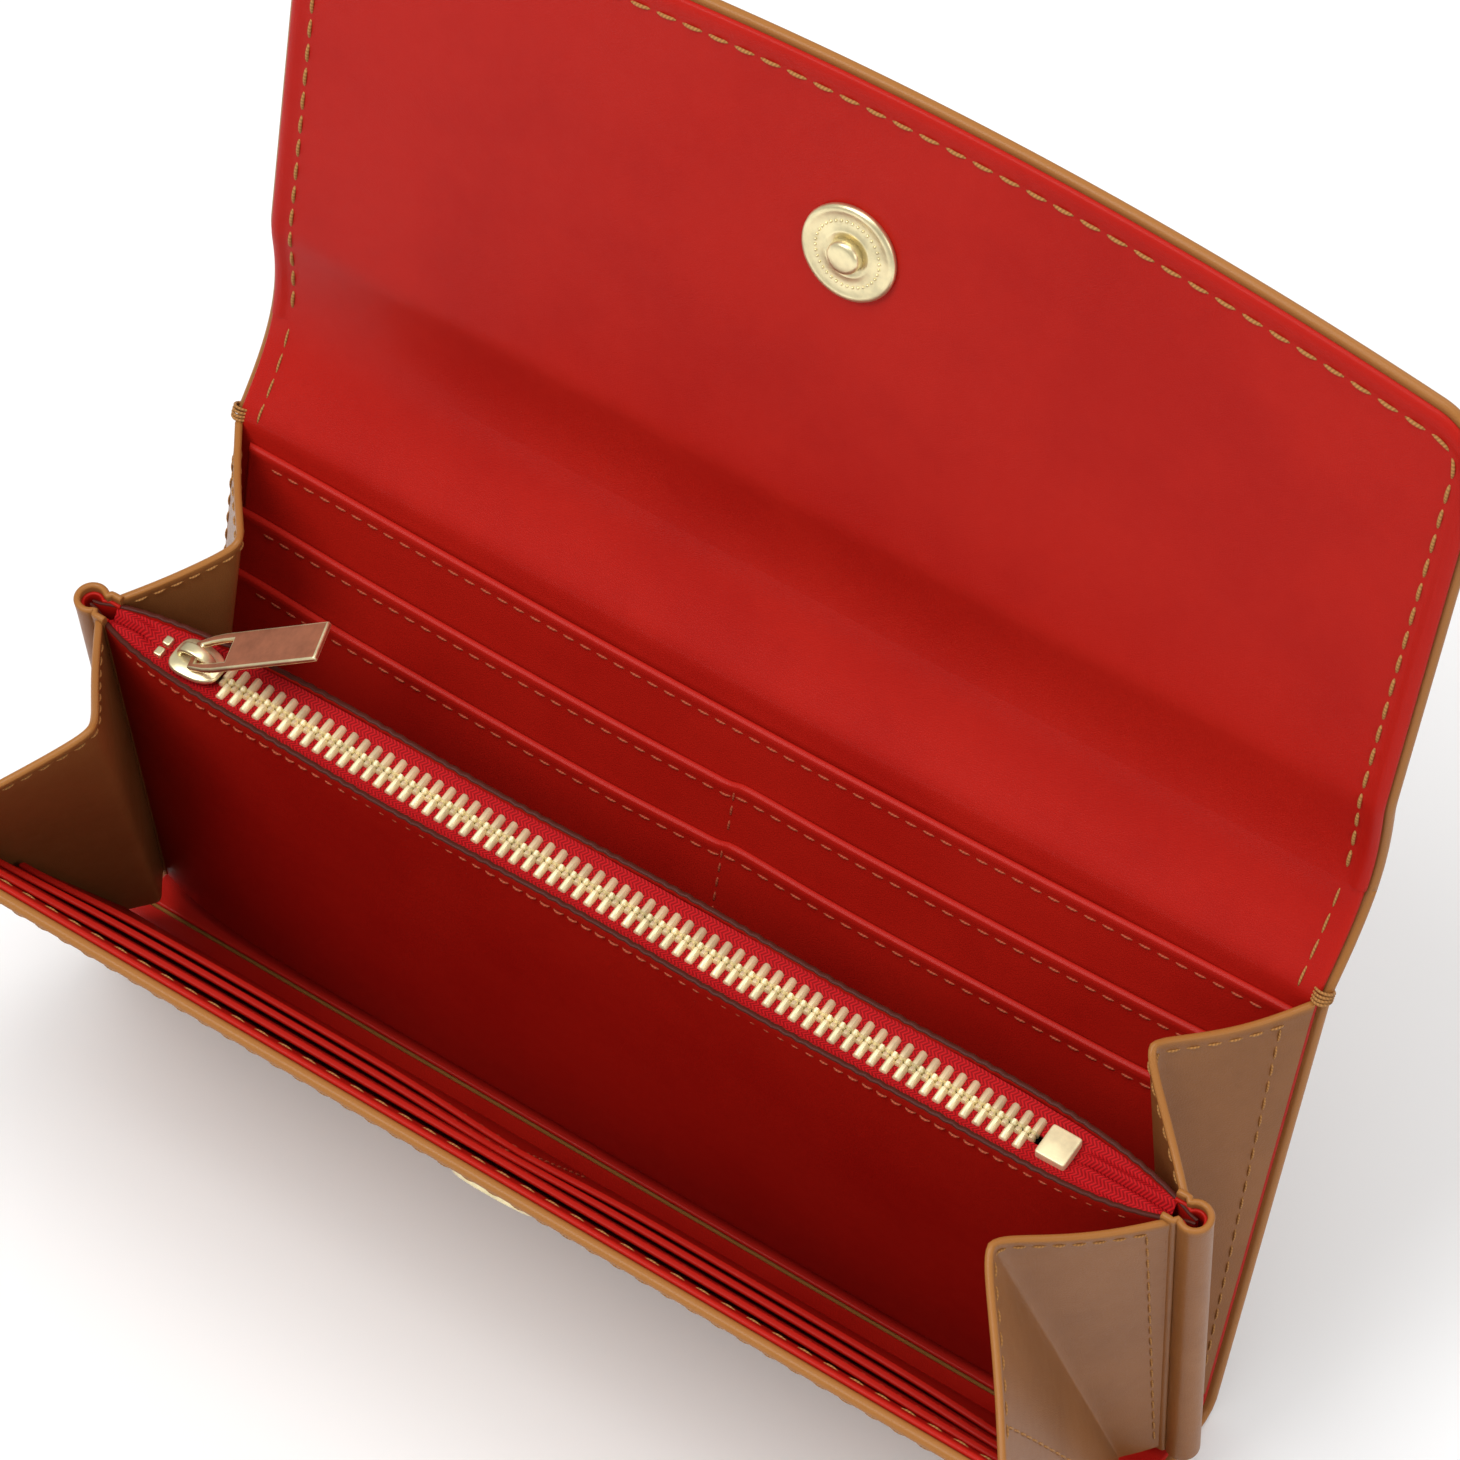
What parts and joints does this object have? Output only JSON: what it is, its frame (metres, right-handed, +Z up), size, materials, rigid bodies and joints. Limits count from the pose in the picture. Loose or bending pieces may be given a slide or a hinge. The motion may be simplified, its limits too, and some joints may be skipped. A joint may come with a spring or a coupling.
{
  "type": "long wallet",
  "caption": "Long flap-over leather wallet standing open: tan outside, red lining, card pockets, accordion gussets, gold centre zip pocket and magnetic snap.",
  "frame": {"origin": "on the underside of the base, midway along its width, where the wallet stands", "axes": "+X along the width to the right seen from the front, -Y to the front, +Z up"},
  "size_m": [0.1964, 0.1084, 0.1925],
  "materials": {
    "tan_leather": "smooth glazed calf, satin",
    "red_leather": "smooth glazed calf lining, satin",
    "zip_tape": "herringbone woven tape",
    "gold_metal": "polished light gold plate",
    "magnet_steel": "plain",
    "stiffener_board": "plain"
  },
  "bodies": {
    "base_and_back": {"base_and_back_leather": "tan_leather", "base_and_back_lining": "red_leather", "back_stiffener": "stiffener_board", "base_stiffener": "stiffener_board", "back_slip_pocket": "red_leather", "back_upper_card_tier": "red_leather", "back_lower_card_tier": "red_leather", "gusset_back_left": "tan_leather", "gusset_back_right": "tan_leather"},
    "zip_pocket": {"zip_pocket_back_wall": "red_leather", "zip_pocket_front_wall": "red_leather", "zip_pocket_floor": "red_leather", "zip_tape_back": "zip_tape", "zip_tape_front": "zip_tape", "zip_teeth_back": "gold_metal", "zip_teeth_front": "gold_metal", "zip_top_stops": "gold_metal", "zip_end_box": "gold_metal", "gusset_loop_left": "tan_leather", "gusset_loop_right": "tan_leather", "gusset_front_left": "tan_leather", "gusset_front_right": "tan_leather"},
    "front": {"front_leather": "tan_leather", "front_lining": "red_leather", "front_stiffener": "stiffener_board", "front_slip_pocket": "red_leather", "front_upper_card_tier": "red_leather", "front_lower_card_tier": "red_leather", "snap_socket": "gold_metal", "snap_magnet": "magnet_steel", "snap_socket_washer": "gold_metal"},
    "spine": {"spine_leather": "tan_leather", "spine_interlining": "stiffener_board", "spine_lining": "red_leather"},
    "flap": {"flap_leather": "tan_leather", "flap_stiffener": "stiffener_board", "flap_lining": "red_leather", "snap_disc": "gold_metal", "snap_stud": "gold_metal", "snap_stud_washer": "gold_metal"},
    "zip_slider": {"zip_slider": "gold_metal", "zip_slider_pin": "gold_metal"},
    "zip_pull_tab": {"zip_pull_tab": "gold_metal"}
  },
  "joints": [
    {"name": "front_fold", "type": "hinge", "parent": "zip_pocket", "child": "front", "pos_m": [0, -0.0073, 0.0013], "axis": [-1, 0, 0], "range_deg": [0, 25], "deforming": ["gusset_front_left", "gusset_front_right"]},
    {"name": "pocket_fold", "type": "hinge", "parent": "base_and_back", "child": "zip_pocket", "pos_m": [0, -0.0073, 0.0013], "axis": [-1, 0, 0], "range_deg": [0, 15.01], "deforming": ["gusset_back_left", "gusset_back_right"]},
    {"name": "spine_fold", "type": "hinge", "parent": "base_and_back", "child": "spine", "pos_m": [0, 0.02456, 0.08904], "axis": [1, 0, 0], "range_deg": [0, 89.52]},
    {"name": "flap_fold", "type": "hinge", "parent": "spine", "child": "flap", "pos_m": [0, 0.03446, 0.12003], "axis": [1, 0, 0], "range_deg": [0, 93.5]},
    {"name": "zip_slide", "type": "slide", "parent": "zip_pocket", "child": "zip_slider", "axis": [1, 0, 0], "range_m": [0, 0.142]},
    {"name": "tab_swing", "type": "hinge", "parent": "zip_slider", "child": "zip_pull_tab", "pos_m": [-0.076, -0.01095, 0.07818], "axis": [0.2924, -0.9481, -0.1248], "range_deg": [-26, 120]}
  ],
  "couplings": [
    {"joint": "pocket_fold", "follows": "front_fold", "ratio": 0.6},
    {"joint": "spine_fold", "follows": "front_fold", "ratio": 3.5804},
    {"joint": "flap_fold", "follows": "front_fold", "ratio": 3.7396}
  ]
}
